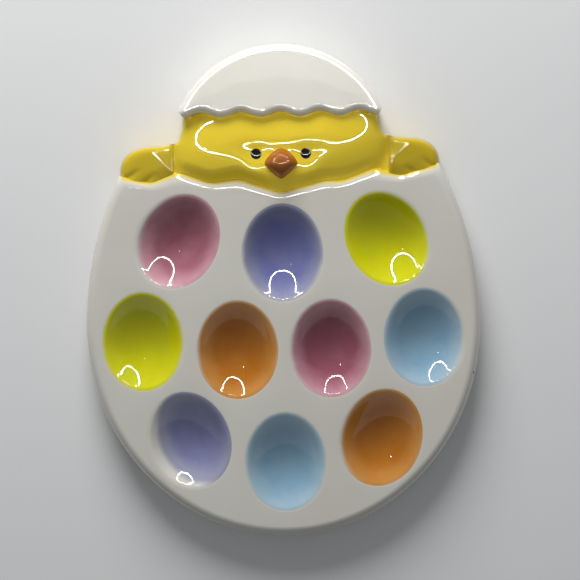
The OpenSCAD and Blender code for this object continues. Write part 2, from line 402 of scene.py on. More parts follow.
# %% Model the foot rim
foot_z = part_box("foot_rim")[1].z
foot_out, foot_in = 0.7 * MM, 3.7 * MM
foot_round = 0.8 * MM
foot_drop = 2.5 * MM
foot_profile = [
    (foot_out, foot_z), (foot_out, foot_round), (foot_out + foot_round / 3, foot_round / 3),
    (foot_out + foot_round, 0), (foot_in - foot_round, 0), (foot_in - foot_round / 3, foot_round / 3),
    (foot_in, foot_round), (foot_in, foot_z),
]
bm = bmesh.new()
rings = [shell_ring(inset, z, inset + foot_drop, z) for inset, z in foot_profile]
first, last = grow_rings(bm, rings)
bmesh.ops.bridge_loops(bm, edges=loop_edges(bm, first) + loop_edges(bm, last))
print("open edges:", sum(edge.is_boundary for edge in bm.edges))
finish_piece(bm, "bare_foot", "foot_rim", "bare_clay")

# %% [markdown]
# ## Puffed forms
# The head, the wings and the cap are puffed: an outline, a surface that swells inside it, and a flat
# back. Sculpting by hand would do, but with a formula for the height each dip and ridge keeps a size that
# can be set. Loops shrink from the outline to a middle point, and each vertex is lifted to the surface.
# At the back a skirt runs down to the table where the outline is the outside of the platter.

# %% Helpers for puffed forms
back_z = 5 * MM
lapped_back_z = 5.3 * MM
skirt_wall = 4 * MM


def shrink(outline, middle, share):
    return [(x + (middle[0] - x) * share, y + (middle[1] - y) * share) for x, y in outline]


def set_in(outline, middle, wall):
    places = []
    for x, y in outline:
        reach = math.hypot(x - middle[0], y - middle[1])
        places.append((x + (middle[0] - x) * wall / reach, y + (middle[1] - y) * wall / reach))
    return places


def relax(outline):
    """Draws each point towards its neighbours, so that the loops lose the outline's corners further in."""
    around = zip(outline[-1:] + outline[:-1], outline, outline[1:] + outline[:1])
    return [((a[0] + 2 * b[0] + c[0]) / 4, (a[1] + 2 * b[1] + c[1]) / 4) for a, b, c in around]


def puff(bm, outline, middle, surface, outside, shares, back=lapped_back_z):
    """Grows a puffed form. surface gives the height at x, y; outside says where the skirt reaches down."""
    feet = [shell_low_z if outside(x, y) else back for x, y in outline]
    foot = start_loop(bm, [Vector((x, y, z)) for (x, y), z in zip(outline, feet)])
    inner = set_in(outline, middle, skirt_wall)
    loop = grow_loop(bm, foot, [Vector((x, y, z)) for (x, y), z in zip(inner, feet)])
    inner = set_in(outline, middle, skirt_wall + border)
    loop = grow_loop(bm, loop, [Vector((x, y, back)) for x, y in inner])
    close_loop(bm, loop)
    loop = foot
    for share in shares:
        ring = shrink(outline, middle, share)
        loop = grow_loop(bm, loop, [Vector((x, y, surface(x, y))) for x, y in ring])
        outline = relax(outline)
    close_loop(bm, loop).co = Vector((*middle, surface(*middle)))


def mirrored(points):
    return [(-x, y) for x, y in reversed(points)]


print("skirt:", skirt_wall / MM, "mm wide")

# %% [markdown]
# ## The lines where the chick ends
# The chick ends at three kinds of edge: the crack's lip, which it dips down to, the wavy edge of the cap,
# and the neck, which is drawn in above the wings. Each could be traced as a curve. As functions of the
# place they serve the head, the wings and the cap alike, so the pieces fit each other.

# %% Edges of the chick
tuck = 1 * MM
lap = 0.9 * MM
lip_z = face_z - 2.2 * MM
groove_width = 9 * MM
wave_y = 114 * MM
wave_depth = 3.4 * MM
wave_pitch = 25.5 * MM
cheek_x = 69.3 * MM
neck_x = 62.8 * MM
wing_top = {1: 99.2 * MM, -1: 95.8 * MM}


def wave(x):
    return wave_y + wave_depth / 2 * math.cos(2 * math.pi * x / wave_pitch)


def near(distance, width):
    """From 1 at a line down to 0 at this width from it, along a sine wave, and over 1 past the line."""
    return 1 - math.sin(math.pi / 2 * clamp(distance / width, -1))


def meet_lip(x, y, z):
    """Draws a puffed surface down to the crack's lip, where it stands over it."""
    return z - max(0, z - lip_z) * near(y - crack_y(x) + lap, groove_width)


def neck_line(y, side):
    """Half width of the head: straight beside the wings, and drawn in to the neck above them."""
    share = clamp((wave_y - y) / (wave_y - wing_top[side]))
    return neck_x + (cheek_x - neck_x) * (1 - math.sqrt(1 - share * share))


print("waves across the brow:", round(2 * neck_x / wave_pitch, 1))

# %% [markdown]
# ## The surface of the chick's head
# The head is a wide, low pillow between the crack and the cap. It dips into a groove along the crack and
# beside each wing, each eye sits in a shallow socket, and so does the beak. A sculpted mesh would show
# the same, but these are all heights over the plan, so they add up in one formula.

# %% Surface of the head
crown_y = 91 * MM
crown_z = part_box("chick_head")[1].z
crown_radius = 54 * MM
crown_tighter = 7 * MM
crown_lean = 0.09
crown_lift = 4.8 * MM
lift_near, lift_far = 2 * MM, 13 * MM
cheek_drop = 8 * MM
cheek_power = 5.5
cheek_depth = 1.2 * MM
cheek_width = 5 * MM
cheek_floor = 21.5 * MM
cheek_fill = 12 * MM
socket_depth = 2.5 * MM
socket_width = 10 * MM
socket_flare = 0.22
socket_height = 7.8 * MM
socket_lift = 0.4 * MM
seat_depth = 2 * MM
seat_width = 7 * MM
seat_y = 85 * MM
eye_low, eye_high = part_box("right_eye")
eye_x = (eye_low.x + eye_high.x) / 2
eye_y = (eye_low.y + eye_high.y) / 2


def head_surface(x, y):
    """Height of the head: a long crown, less its sockets, the beak's seat and the grooves at its edges."""
    crest = crown_y + crown_lean * x
    crest += crown_lift * smooth_step(eye_x + lift_near, eye_x + lift_far, abs(x))
    radius = crown_radius - crown_tighter * smooth_step(0, cheek_x, x)
    z = crown_z - radius + math.sqrt(radius ** 2 - (y - crest) ** 2)
    z -= cheek_drop * abs(x / cheek_x) ** cheek_power
    for side in (-1, 1):
        up = (y - eye_y - socket_lift) / socket_height
        across = (x - side * eye_x) / socket_width / (1 + socket_flare * math.tanh(2 * up))
        z -= socket_depth * math.exp(-across ** 2 - up ** 2)
    z -= seat_depth * math.exp(-(x / seat_width) ** 2 - ((y - seat_y) / socket_height) ** 2)
    gap = neck_line(y, side_of(x)) - abs(x)
    z += max(0, cheek_floor - z) * min(1, near(gap, cheek_fill))
    return meet_lip(x, y, z) - cheek_depth * near(gap, cheek_width)


print("height between the eyes:", round(head_surface(0, eye_y) / MM, 1), "mm")

# %% [markdown]
# ## The chick's head
# Its outline follows the crack below and the cap's wave above. Pieces that only met edge to edge would
# show a black slit, so the head is tucked under the cap and into the wings by a millimetre.

# %% Model the head
JAW_STEPS = 100
CHEEK_STEPS = 40
BROW_STEPS = 90
HEAD_LOOPS = 44
head_closed = 0.975
head_middle = (0, 86 * MM)


def cheek(side):
    """The head's side, tucked into the wing as far up as that reaches."""
    low = crack_y(side * cheek_x) - lap
    rows = steps(low, wave(neck_x) + tuck, CHEEK_STEPS)
    return [(side * (neck_line(y, side) + tuck * (y < wing_top[side] - tuck)), y) for y in rows]


def head_outside(x, y):
    return abs(x) > neck_x - tuck and y > wing_top[side_of(x)]


jaw = [(x, crack_y(x) - lap) for x in steps(-cheek_x - tuck, cheek_x + tuck, JAW_STEPS)][1:-1]
brow = [(x, wave(x) + tuck) for x in steps(neck_x, -neck_x, BROW_STEPS)][1:-1]
head_outline = jaw + cheek(1) + brow + cheek(-1)[::-1]
bm = bmesh.new()
puff(bm, head_outline, head_middle, head_surface, head_outside, steps(0, head_closed, HEAD_LOOPS), back_z)
finish_piece(bm, "puffed_head", "chick_head", "yellow_glaze")

# %% [markdown]
# ## The surface of a wing
# Each wing is a mitten that hangs over the crack. Two creases part its feathers and run out under the
# crack's lip, and a groove parts it from the cheek. A mould made by hand is never quite even, so a few
# sizes differ from side to side: those are kept by side, 1 for the right and -1 for the left. Mirroring
# one wing would lose that.

# %% Surface of a wing
wing_x = 80 * MM
wing_length = {1: 23.8 * MM, -1: 25.6 * MM}
wing_width = 18.1 * MM
wing_power = 2.5
dome_power = 10
wing_dome = 13.8 * MM
wing_fall = 0.06
deck_z = 11 * MM
ridge_low = {1: 83 * MM, -1: 76 * MM}
ridge_width = 20 * MM
ridge_least = 2.5 * MM
edge_width = 2 * MM
edge_share = 0.25
crease_depth = 1.5 * MM
crease_width = 2 * MM
creases_mm = {
    1: [((101.6, 75.8), (90.0, 85.9)), ((89.5, 71.8), (79.4, 80.6))],
    -1: [((102.2, 72.8), (90.0, 80.8)), ((91.4, 68.8), (80.4, 77.8))],
}
root_x = cheek_x - 3 * MM
root_width = 4 * MM
root_lift = 0.4 * MM


def along_line(x, y, start, end):
    """Distance from a line, and the share of the way along it."""
    run = end - start
    share = clamp((Vector((x, y)) - start).dot(run) / run.length_squared)
    return (Vector((x, y)) - start - run * share).length, share


def wing_surface(x, y, side):
    """Height of a wing, x counted outward: a flat dome that rises from the groove over a slanting ridge."""
    across = max(0, (x - wing_x) / wing_length[side])
    up = max(0, (y - wing_top[side] + wing_width) / wing_width)
    up *= smooth_step(root_x, cheek_x + root_width, x)
    reach = min(1, (across ** wing_power + up ** wing_power) ** (1 / wing_power))
    z = deck_z + wing_dome * math.sqrt(1 - reach ** dome_power) - wing_fall * (x - cheek_x)
    gap = x - neck_line(y, side)
    ridge = ridge_width * (y - ridge_low[side]) / (wing_top[side] - ridge_low[side])
    groove = (1 - edge_share) * near(gap, max(ridge_least, ridge)) + edge_share * near(gap, edge_width)
    z += (head_surface(side * cheek_x, y) - z) * groove
    z = meet_lip(side * x, y, z)
    for start, end in creases_mm[side]:
        distance, share = along_line(x, y, Vector(start) * MM, Vector(end) * MM)
        z -= crease_depth * (1 - share) * math.exp(-(distance / crease_width) ** 2)
    return z


print("height at the wing's middle:", round(wing_surface(wing_x, seat_y, 1) / MM, 1), "mm")

# %% [markdown]
# ## The wings
# The plan of a wing is an oval with blunt corners, a superellipse, whose upper edge runs on into the
# cheek. It could be drawn as a curve, but the same powers give the outline and the dome, so that they fit
# each other.

# %% Model the wings
TIP_STEPS = 90
TOP_STEPS = 9
ROOT_STEPS = 26
HEM_STEPS = 40
WING_LOOPS = 36
wing_closed = 0.97
wing_crowding = 1.6
tip_start = -0.6
wing_middle = {1: (86 * MM, 85 * MM), -1: (86 * MM, 81 * MM)}
# Painted shade on the wings: how far each one's yellow is darkened, the right more than the left.
wing_painted_shade = {1: 0.55, -1: 0.35}


def wing_edge(angle, side):
    c, s = math.cos(angle), math.sin(angle)
    reach = (abs(c) ** wing_power + abs(s) ** wing_power) ** (-1 / wing_power)
    return wing_x + wing_length[side] * reach * c, wing_top[side] + wing_width * (reach * s - 1)


def wing_outline(side):
    """Outline of a wing, x counted outward: round its tip, along its top, down the cheek, over the crack."""
    rim = [wing_edge(angle, side) for angle in steps(tip_start, math.pi / 2, TIP_STEPS)]
    oval = [(x, y) for x, y in rim if y > crack_y(side * x) - lap]
    end_x, end_y = oval[-1]
    top = list(zip(steps(end_x, root_x, TOP_STEPS), steps(end_y, end_y + root_lift, TOP_STEPS)))
    inner = [(root_x, y) for y in steps(top[-1][1], crack_y(side * root_x) - lap, ROOT_STEPS)]
    hem = [(x, crack_y(side * x) - lap) for x in steps(root_x, oval[0][0], HEM_STEPS)]
    return oval + top[1:-1] + inner + hem[1:-1]


def wing_outside(x, y):
    return y > crack_y(x) - lap / 2 and abs(x) > root_x + tuck


wing_shares = [wing_closed * share ** wing_crowding for share in steps(0, 1, WING_LOOPS)]
for name, node, side in (("mitten_right", "right_wing", 1), ("mitten_left", "left_wing", -1)):
    outline = wing_outline(side) if side > 0 else mirrored(wing_outline(side))
    middle_x, middle_y = wing_middle[side]
    bm = bmesh.new()
    puff(bm, outline, (side * middle_x, middle_y), lambda x, y: wing_surface(abs(x), y, side),
         wing_outside, wing_shares)
    # Each wing carries its painted shade as an attribute for the yellow glaze to read.
    coat = bm.verts.layers.float.new("coat")
    for vert in bm.verts:
        vert[coat] = wing_painted_shade[side]
    finish_piece(bm, name, node, "yellow_glaze")

# %% [markdown]
# ## The shell cap
# The cap is the tip of the egg, a flat cushion with a rolled edge. Its lower edge is wavy and overhangs
# the brow. A bevel would round it, but would need even faces first. The puffed form crowds its loops at
# the roll instead, where the glaze catches the light.

# %% Model the cap
DOME_STEPS = 110
CAP_CORNER_STEPS = 9
CAP_ROLL_STEPS = 12
CAP_LOOPS = 16
cap_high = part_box("shell_cap")[1]
cap_half = 67.5 * MM
cap_rise = cap_high.y - wave_y
cap_radius = (cap_half ** 2 + cap_rise ** 2) / (2 * cap_rise)
cap_y = cap_high.y - cap_radius
cap_roll = 6 * MM
wave_roll = 5 * MM
cap_crown = 0.8 * MM
crown_reach = 25 * MM
cap_middle = (0, 134 * MM)
cap_closed = 0.97
roll_share = 0.24
corner_x = 61.5 * MM
corner_tip = (67 * MM, 114.5 * MM)
corner_top_y = 121 * MM


def bend(start, corner, end, count):
    """Points on a curve from start to end that leans towards a corner."""
    a, b, c = Vector(start), Vector(corner), Vector(end)
    return [tuple(a.lerp(b, t).lerp(b.lerp(c, t), t)) for t in steps(0, 1, count)]


def cap_surface(x, y):
    rim = cap_radius - math.hypot(x, y - cap_y)
    edge = y - wave(x)
    z = cap_high.z - cap_crown * (1 - smooth_step(0, crown_reach, min(rim, edge)))
    for gap, roll in ((rim, cap_roll), (edge, wave_roll)):
        inside = clamp(gap / roll)
        z -= roll * (1 - math.sqrt(1 - (1 - inside) ** 2))
    return z


def cap_outside(x, y):
    return y > wave(x) + tuck


corner_angle = math.asin((corner_top_y - cap_y) / cap_radius)
dome_angles = steps(corner_angle, math.pi - corner_angle, DOME_STEPS)
dome = [(cap_radius * math.cos(a), cap_y + cap_radius * math.sin(a)) for a in dome_angles]
corner = bend((corner_x, wave(corner_x)), corner_tip, dome[0], CAP_CORNER_STEPS)[1:-1]
scallop = [(x, wave(x)) for x in steps(-corner_x, corner_x, DOME_STEPS)]
cap_outline = dome + mirrored(corner) + scallop + corner
rolled = [1 - math.cos(math.pi / 2 * k / CAP_ROLL_STEPS) for k in range(CAP_ROLL_STEPS)]
cap_shares = [roll_share * share for share in rolled] + steps(roll_share, cap_closed, CAP_LOOPS)
bm = bmesh.new()
puff(bm, cap_outline, cap_middle, cap_surface, cap_outside, cap_shares)
finish_piece(bm, "rolled_cap", "shell_cap", "white_glaze")

# %% [markdown]
# ## The beak
# The beak is a small dome on a diamond, pressed on by hand. A cone of four sides could be bevelled to it.
# Loops of a diamond with rounded corners keep its size exactly, and its ridges get softer towards the
# tip.

# %% Model the beak
BEAK_POINTS = 72
BEAK_LOOPS = 20
beak_low, beak_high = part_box("beak")
beak_middle = (beak_low + beak_high) / 2
beak_half = (beak_high - beak_low) / 2
beak_sunk = 0.6 * MM
beak_tip_share = 0.05
dome_round = 1.07
upper_power, lower_power = 1.5, 1.22
tip_softening = 0.8


def beak_ring(share, sunk=0):
    """A diamond at a share of the beak's width. The upper sides bulge more; corners soften near the tip."""
    low = math.sqrt(dome_round ** 2 - 1)
    rise = (math.sqrt(dome_round ** 2 - share ** 2) - low) / (dome_round - low)
    places = []
    for k in range(BEAK_POINTS):
        angle = 2 * math.pi * k / BEAK_POINTS
        c, s = math.cos(angle), math.sin(angle)
        power = (upper_power if s > 0 else lower_power) + tip_softening * (1 - share)
        reach = (abs(c) ** power + abs(s) ** power) ** (-1 / power)
        x, y = beak_half.x * reach * c, beak_half.y * reach * s
        root = head_surface(beak_middle.x + x, beak_middle.y + y) - sunk
        z = root + (beak_high.z - root) * rise
        places.append(Vector((beak_middle.x + x * share, beak_middle.y + y * share, z)))
    return places


bm = bmesh.new()
rings = [beak_ring(1, beak_sunk)] + [beak_ring(share) for share in steps(1, beak_tip_share, BEAK_LOOPS)]
root_loop, tip_loop = grow_rings(bm, rings)
close_loop(bm, tip_loop).co.z = beak_high.z
close_loop(bm, root_loop)
finish_piece(bm, "pressed_beak", "beak", "rust_glaze")

# %% [markdown]
# ## The eyes
# Each eye is a drop of black glaze that dried as a low dome. A sphere could be flattened and sunk in, but
# spinning half of its section gives a clean round form with a flat base.

# %% Model the eyes
EYE_STEPS = 10
EYE_TURN_STEPS = 40
eye_dome = 1.1 * MM
eye_sunk = 0.8 * MM
merge_distance = 0.01 * MM
for side in ("left", "right"):
    low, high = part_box(side + "_eye")
    radius = (high.x - low.x) / 2
    middle = (low + high) / 2
    ground = min(head_surface(middle.x, middle.y + turn * radius) for turn in (-1, 1)) - eye_sunk
    rise = head_surface(middle.x, middle.y) + eye_dome - ground - eye_sunk
    bm = bmesh.new()
    section = [bm.verts.new((0, 0, 0)), bm.verts.new((radius, 0, 0))]
    for angle in steps(0, math.pi / 2, EYE_STEPS + 1):
        section.append(bm.verts.new((radius * math.cos(angle), 0, eye_sunk + rise * math.sin(angle))))
    edges = [bm.edges.new(pair) for pair in zip(section, section[1:])]
    bmesh.ops.spin(bm, geom=section + edges, axis=(0, 0, 1), cent=(0, 0, 0), angle=2 * math.pi,
                   steps=EYE_TURN_STEPS, use_merge=True)
    bmesh.ops.remove_doubles(bm, verts=bm.verts, dist=merge_distance)
    bmesh.ops.translate(bm, vec=(middle.x, middle.y, ground), verts=bm.verts)
    finish_piece(bm, side + "_drop", side + "_eye", "black_glaze")

# %% [markdown]
# ## The sprayed glaze in the wells
# The colour in a well is sprayed from above, so it is full on the floor and thins out over the lip, more
# on one side than on the other. It could be painted on the shell itself. Here each one is a skin of its
# own that lies on the well, and a vertex attribute keeps how much colour lands where, for the material to
# read.

# %% Model the coloured glazes
skin = 0.6 * MM
sunk = 0.5 * MM
feather = 0.06 * MM
spray_shift_shares = {
    "pink_glaze_top_left": (0.08, 0.06), "lilac_glaze_top": (0, 0.04), "lime_glaze_top_right": (-0.05, 0),
    "orange_glaze_left": (0.02, -0.02), "pink_glaze_right": (0.02, 0), "blue_glaze_right": (-0.06, 0),
    "lilac_glaze_bottom_left": (0.24, 0.06), "orange_glaze_bottom_right": (0.04, 0.02),
}
coats = {"pink_glaze_right": 1.25, "lilac_glaze_bottom_left": 0.8}
usual_coat = 1.1


def skin_curve(half):
    """Section of a glaze from the lowest point of its back, out to the feathered edge and in again on top."""
    curve = bowl_curve(half)
    back = [(distance, depth + sunk) for distance, depth in reversed(curve)]
    front = []
    for k, (distance, depth) in enumerate(curve):
        lift = (skin + feather) * smooth_step(0, len(curve) / 2, k) - feather
        front.append((distance, depth - lift))
    return back + front


for name in turns:
    bm = bmesh.new()
    lowest_loop, floor_loop = grow_rings(bm, well_rings(name, skin_curve))
    close_loop(bm, lowest_loop).co.z = face_z - well_depth - sunk
    close_loop(bm, floor_loop).co.z = face_z - well_depth + skin
    middle = middle_of(name)
    turn_back = Matrix.Rotation(-math.radians(turns[name]), 4, "Z")
    shift_x, shift_y = spray_shift_shares.get(name, (0, 0))
    spray, coat = (bm.verts.layers.float.new(label) for label in ("spray", "coat"))
    for vert in bm.verts:
        local = turn_back @ (vert.co - middle)
        vert[spray] = math.hypot(local.x / well_side - shift_x, local.y / well_pointed - shift_y)
        vert[coat] = coats.get(name, usual_coat)
    finish_piece(bm, "sprayed_" + name, name, name.split("_")[0] + "_glaze")

# %% [markdown]
# ## Nodes in code
# A material is a tree of nodes. Placing and linking each one takes many lines, so a few helpers add a
# node, feed its inputs with plain values or with other nodes' outputs, and start a node group with named
# sockets.

# %% Node helpers
def feed(tree, socket, value):
    """Links an input to another node's output, or gives it a plain value."""
    if isinstance(value, bpy.types.NodeSocket):
        tree.links.new(value, socket)
    else:
        socket.default_value = value


def put(tree, kind, **values):
    """Adds a node; values set its properties or feed its inputs, with _ for a space."""
    node = tree.nodes.new(kind)
    for key, value in values.items():
        if hasattr(node, key):
            setattr(node, key, value)
        else:
            feed(tree, node.inputs[key.replace("_", " ")], value)
    return node


def calculate(tree, operation, *values, **options):
    """Adds a Math node for these values, and returns its output."""
    node = put(tree, "ShaderNodeMath", operation=operation, **options)
    for socket, value in zip(node.inputs, values):
        feed(tree, socket, value)
    return node.outputs[0]


def place_on_piece(tree):
    return put(tree, "ShaderNodeTexCoord").outputs["Object"]


def clouds(tree, scale, detail=3, roughness=0.5):
    """Soft noise from 0 to 1 over the piece."""
    noise = put(tree, "ShaderNodeTexNoise", Scale=scale, Detail=detail, Roughness=roughness)
    feed(tree, noise.inputs["Vector"], place_on_piece(tree))
    return noise.outputs["Fac"]


def new_group(name, inputs, outputs):
    """Starts a node group with numbers in and out."""
    group = bpy.data.node_groups.new(name, "ShaderNodeTree")
    for label, default in inputs.items():
        socket = group.interface.new_socket(label, in_out="INPUT", socket_type="NodeSocketFloat")
        socket.default_value = default
    for label in outputs:
        group.interface.new_socket(label, in_out="OUTPUT", socket_type="NodeSocketFloat")
    print("node group", name, "puts out", outputs)
    return group, group.nodes.new("NodeGroupInput"), group.nodes.new("NodeGroupOutput")


# %% [markdown]
# ## Ripples in the glaze
# Glaze runs a little before it sets, so its surface is never quite flat: broad, slow waves, with a fine
# grain on them that also makes the gloss uneven. Displacing the mesh would need far more faces. A bump
# does it here.

# %% Group for the ripples
fine_scale = 420
fine_share = 0.06
ripple, ins, outs = new_group("glaze_ripple", {"Scale": 45}, ["Height", "Roughness"])
broad = clouds(ripple, ins.outputs["Scale"], detail=2, roughness=0.4)
fine = clouds(ripple, fine_scale, detail=2)
height = calculate(ripple, "ADD", broad, calculate(ripple, "MULTIPLY", fine, fine_share))
gloss = put(ripple, "ShaderNodeMapRange", Value=fine, From_Min=0.3, From_Max=0.7, To_Min=0.03, To_Max=0.07)
feed(ripple, outs.inputs["Height"], height)
feed(ripple, outs.inputs["Roughness"], gloss.outputs["Result"])

# %% [markdown]
# ## Kiln specks
# Dust in the kiln and iron in the clay leave a few dark specks. They could be painted one by one. Cells
# of a Voronoi pattern spread them evenly instead: about one cell in four keeps a dot, and a random share
# of the full size makes the dots differ.

# %% Group for the specks
bare_cells = 0.72
specks, ins, outs = new_group("kiln_specks", {"Scale": 60, "Size": 0.05}, ["Mask"])
cells = put(specks, "ShaderNodeTexVoronoi", feature="F1", Vector=place_on_piece(specks),
            Scale=ins.outputs["Scale"])
pick = put(specks, "ShaderNodeSeparateColor", Color=cells.outputs["Color"])
chosen = calculate(specks, "GREATER_THAN", pick.outputs["Red"], bare_cells)
size = calculate(specks, "MULTIPLY", pick.outputs["Green"], ins.outputs["Size"])
inside = calculate(specks, "LESS_THAN", cells.outputs["Distance"], size)
feed(specks, outs.inputs["Mask"], calculate(specks, "MULTIPLY", chosen, inside))

# %% [markdown]
# ## Sprayed colour
# A spray gun lays colour thickly in the middle of a well and thinly at its edge, in soft clouds. A round
# gradient could show it, but the wells are long, turned and sprayed off centre, so the distance kept on
# each mesh leads the colour. Density says how much of the white is covered, and Depth how strong the
# colour is there.

# %% Group for the spray
cloud_scale = 70
drift_share = 0.08
uneven_share = -0.5
mist, ins, outs = new_group(
    "sprayed_colour", {"Distance": 0, "Coat": 1, "Full": 0.9, "Bare": 1.12}, ["Density", "Depth"])
cloud = clouds(mist, cloud_scale)
drift = calculate(mist, "MULTIPLY_ADD", cloud, drift_share, ins.outputs["Distance"])
fade = put(mist, "ShaderNodeMapRange", interpolation_type="SMOOTHERSTEP", Value=drift,
           From_Min=ins.outputs["Full"], From_Max=ins.outputs["Bare"], To_Min=1, To_Max=0)
thinning = put(mist, "ShaderNodeMapRange", interpolation_type="SMOOTHSTEP", Value=drift,
               From_Min=0.55, From_Max=1.1, To_Min=0, To_Max=0.9)
uneven = calculate(mist, "MULTIPLY_ADD", cloud, uneven_share, ins.outputs["Coat"])
depth = calculate(mist, "SUBTRACT", uneven, thinning.outputs["Result"], use_clamp=True)
feed(mist, outs.inputs["Density"], fade.outputs["Result"])
feed(mist, outs.inputs["Depth"], depth)

# %% [markdown]
# ## Glazes
# A glaze is a smooth glassy coat over coloured clay. A second, clear layer in the shader could show it,
# but the coat is so thin that one layer with a low roughness and a slight bump looks the same.

# %% Helpers for glazes
materials = {}
glaze_bump = 0.6 * MM


def linear(red, green, blue):
    """Colour written as it shows on a screen, from 0 to 255."""
    levels = [value / 255 for value in (red, green, blue)]
    return (*[v / 12.92 if v < 0.04045 else ((v + 0.055) / 1.055) ** 2.4 for v in levels], 1)


def mix(tree, factor, first, second):
    """Mixes two colours; each argument is an output or a plain value."""
    node = put(tree, "ShaderNodeMix", data_type="RGBA")
    for key, value in ((0, factor), (6, first), (7, second)):
        feed(tree, node.inputs[key], value)
    return node.outputs[2]


def new_material(name):
    """Adds a material, and returns its node tree and its shader."""
    materials[name] = bpy.data.materials.new(name)
    materials[name].use_nodes = True
    tree = materials[name].node_tree
    return tree, tree.nodes["Principled BSDF"]


def new_glaze(name, bump=0.25):
    """Adds a glossy material with ripples, and returns its node tree and its shader."""
    tree, shader = new_material(name)
    shader.inputs["IOR"].default_value = 1.5
    waves = put(tree, "ShaderNodeGroup", node_tree=ripple)
    lift = put(tree, "ShaderNodeBump", Strength=bump, Distance=glaze_bump, Height=waves.outputs["Height"])
    feed(tree, shader.inputs["Normal"], lift.outputs["Normal"])
    feed(tree, shader.inputs["Roughness"], waves.outputs["Roughness"])
    return tree, shader


def specked(tree, colour, speck, **values):
    dots = put(tree, "ShaderNodeGroup", node_tree=specks, **values)
    return mix(tree, dots.outputs["Mask"], colour, speck)


def attribute(tree, name):
    return put(tree, "ShaderNodeAttribute", attribute_name=name).outputs["Fac"]


print("a mid grey of 128 is", round(linear(128, 128, 128)[0], 3), "in linear light")

# %% [markdown]
# ## White and yellow
# The white is warm and cloudy, with a few specks. The yellow was sprayed over the crack's edge too, so
# the white glaze mixes to yellow where the shell's attribute says so. On the wings the yellow is mixed
# towards a darker yellow as painted shade, more on the right wing than on the left.

# %% White and yellow glazes
def white_body(tree):
    """Colour of the white glaze: warm clouds and a few kiln specks."""
    body = mix(tree, clouds(tree, 14), linear(228, 226, 218), linear(221, 216, 202))
    return specked(tree, body, linear(92, 84, 72), Scale=55, Size=0.055)


tree, shader = new_glaze("white_glaze")
body = mix(tree, attribute(tree, "overspray"), white_body(tree), linear(226, 200, 58))
feed(tree, shader.inputs["Base Color"], body)

tree, shader = new_glaze("yellow_glaze")
hue = mix(tree, clouds(tree, 38), linear(232, 209, 58), linear(226, 192, 44))
# Painted shade: the wings' attribute darkens their yellow towards a deeper yellow.
hue = mix(tree, attribute(tree, "coat"), hue, linear(184, 156, 16))
feed(tree, shader.inputs["Base Color"], specked(tree, hue, linear(120, 92, 20), Scale=70, Size=0.05))
print("glazes so far:", sorted(materials))

# %% [markdown]
# ## Beak and eyes
# Both are brushed on in one go. A flat colour would look like plastic, so fine clouds mix two near
# colours.

# %% Rust and black glazes
tree, shader = new_glaze("rust_glaze")
hue = mix(tree, clouds(tree, 160), linear(188, 112, 38), linear(164, 90, 22))
feed(tree, shader.inputs["Base Color"], hue)

tree, shader = new_glaze("black_glaze", bump=0.1)
hue = mix(tree, clouds(tree, 300), linear(10, 10, 11), linear(24, 23, 24))
feed(tree, shader.inputs["Base Color"], hue)
print("glazes so far:", sorted(materials))

# %% [markdown]
# ## The five sprayed colours
# They differ only in their thin and thick colours, and in where the spray stops being full and where it
# is gone, so one loop makes them all. Below the spray lies the same white as on the shell.

# %% Sprayed glazes
sprays = {
    "pink_glaze": (linear(216, 164, 174), linear(157, 88, 105), 0.93, 1.14),
    "lilac_glaze": (linear(160, 162, 184), linear(106, 111, 172), 0.93, 1.14),
    "lime_glaze": (linear(222, 220, 30), linear(204, 202, 2), 0.96, 1.12),
    "orange_glaze": (linear(212, 150, 76), linear(180, 106, 8), 0.95, 1.14),
    "blue_glaze": (linear(172, 198, 212), linear(132, 170, 194), 0.93, 1.14),
}
for slot, (thin, thick, full, bare) in sprays.items():
    tree, shader = new_glaze(slot)
    layer = put(tree, "ShaderNodeGroup", node_tree=mist, Distance=attribute(tree, "spray"),
                Coat=attribute(tree, "coat"), Full=full, Bare=bare)
    colour = mix(tree, layer.outputs["Depth"], thin, thick)
    body = mix(tree, layer.outputs["Density"], white_body(tree), colour)
    feed(tree, shader.inputs["Base Color"], body)
print("sprayed colours:", len(sprays))

# %% [markdown]
# ## Bare clay
# The foot shows the fired clay itself: dull, buff and gritty. Modelled grit would need millions of faces,
# so the same fine noise colours it and roughens it as a bump.

# %% Clay, and a material for each piece
grit_bump = 0.3 * MM
tree, shader = new_material("bare_clay")
grit = clouds(tree, 700)
feed(tree, shader.inputs["Base Color"], mix(tree, grit, linear(214, 200, 178), linear(186, 170, 148)))
lift = put(tree, "ShaderNodeBump", Strength=0.5, Distance=grit_bump, Height=grit)
feed(tree, shader.inputs["Normal"], lift.outputs["Normal"])
shader.inputs["Roughness"].default_value = 0.85

for piece, slot in pieces.items():
    piece.data.materials.append(materials[slot])
print("materials:", sorted(materials))

# %% [markdown]
# ## The table
# The platter lies on a pale, dull table. A backdrop could curve up behind it, but the camera looks
# straight down, so one large square is enough, and only its colour varies a little. A table that shone
# would throw light back under the rim, so its gloss is turned off.

# %% Pale table
table_half = 4


def stage_piece(bm, name, material):
    thing = to_object(bm, name)
    thing.data.materials.append(materials[material])
    return thing


tree, shader = new_material("pale_table")
pale = mix(tree, clouds(tree, 6), linear(246, 246, 245), linear(241, 241, 241))
feed(tree, shader.inputs["Base Color"], pale)
shader.inputs["Roughness"].default_value = 0.9
shader.inputs["Specular IOR Level"].default_value = 0
bm = bmesh.new()
bmesh.ops.create_grid(bm, x_segments=1, y_segments=1, size=table_half)
stage_piece(bm, "table_top", "pale_table")
print("table:", 2 * table_half, "m wide")

# %% [markdown]
# ## Rings of light
# A ring lamp draws thin bright loops on wet-looking glaze. One ring could light it all, but the wells,
# the chick and the cap face different ways, so each has a ring of its own. A ring glows only in
# reflections: the camera doesn't see it, and it neither lights dull surfaces nor casts a shadow.

# %% Rings of light
RING_SIDES = 12
RING_STEPS = 64


